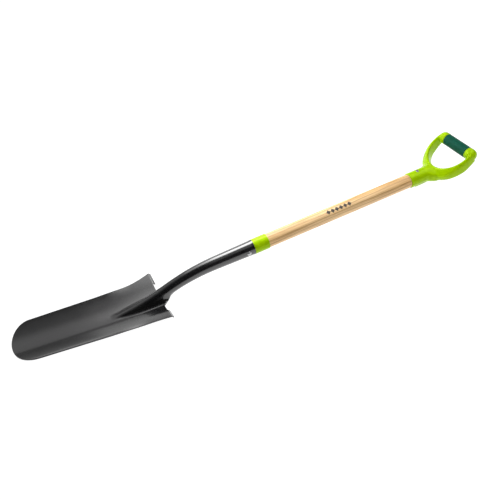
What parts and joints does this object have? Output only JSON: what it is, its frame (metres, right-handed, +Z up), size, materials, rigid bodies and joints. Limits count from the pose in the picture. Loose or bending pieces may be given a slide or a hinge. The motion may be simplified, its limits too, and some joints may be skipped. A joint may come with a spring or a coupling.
{
  "type": "garden spade",
  "caption": "Narrow trenching spade with a black pressed-steel blade, a wooden shaft and a lime plastic D handle with a dark green grip",
  "frame": {"origin": "centre of the bounding box's bottom face: on the ground, midway along the spade", "axes": "+X along the shaft from the blade towards the D handle, +Z up, out of the blade's hollow face, +Y across"},
  "size_m": [1.2427, 0.1724, 0.08],
  "materials": {
    "black_steel": "satin",
    "shaft_wood": "satin",
    "lime_plastic": "gloss",
    "bright_steel": "satin",
    "grip_rubber": "matte"
  },
  "bodies": {
    "root": {"blade": "black_steel", "shaft": "shaft_wood", "collar_ring": "lime_plastic", "socket_rivet": "bright_steel", "handle_frame": "lime_plastic", "grip_sleeve": "grip_rubber", "handle_rivet": "bright_steel"}
  },
  "joints": []
}
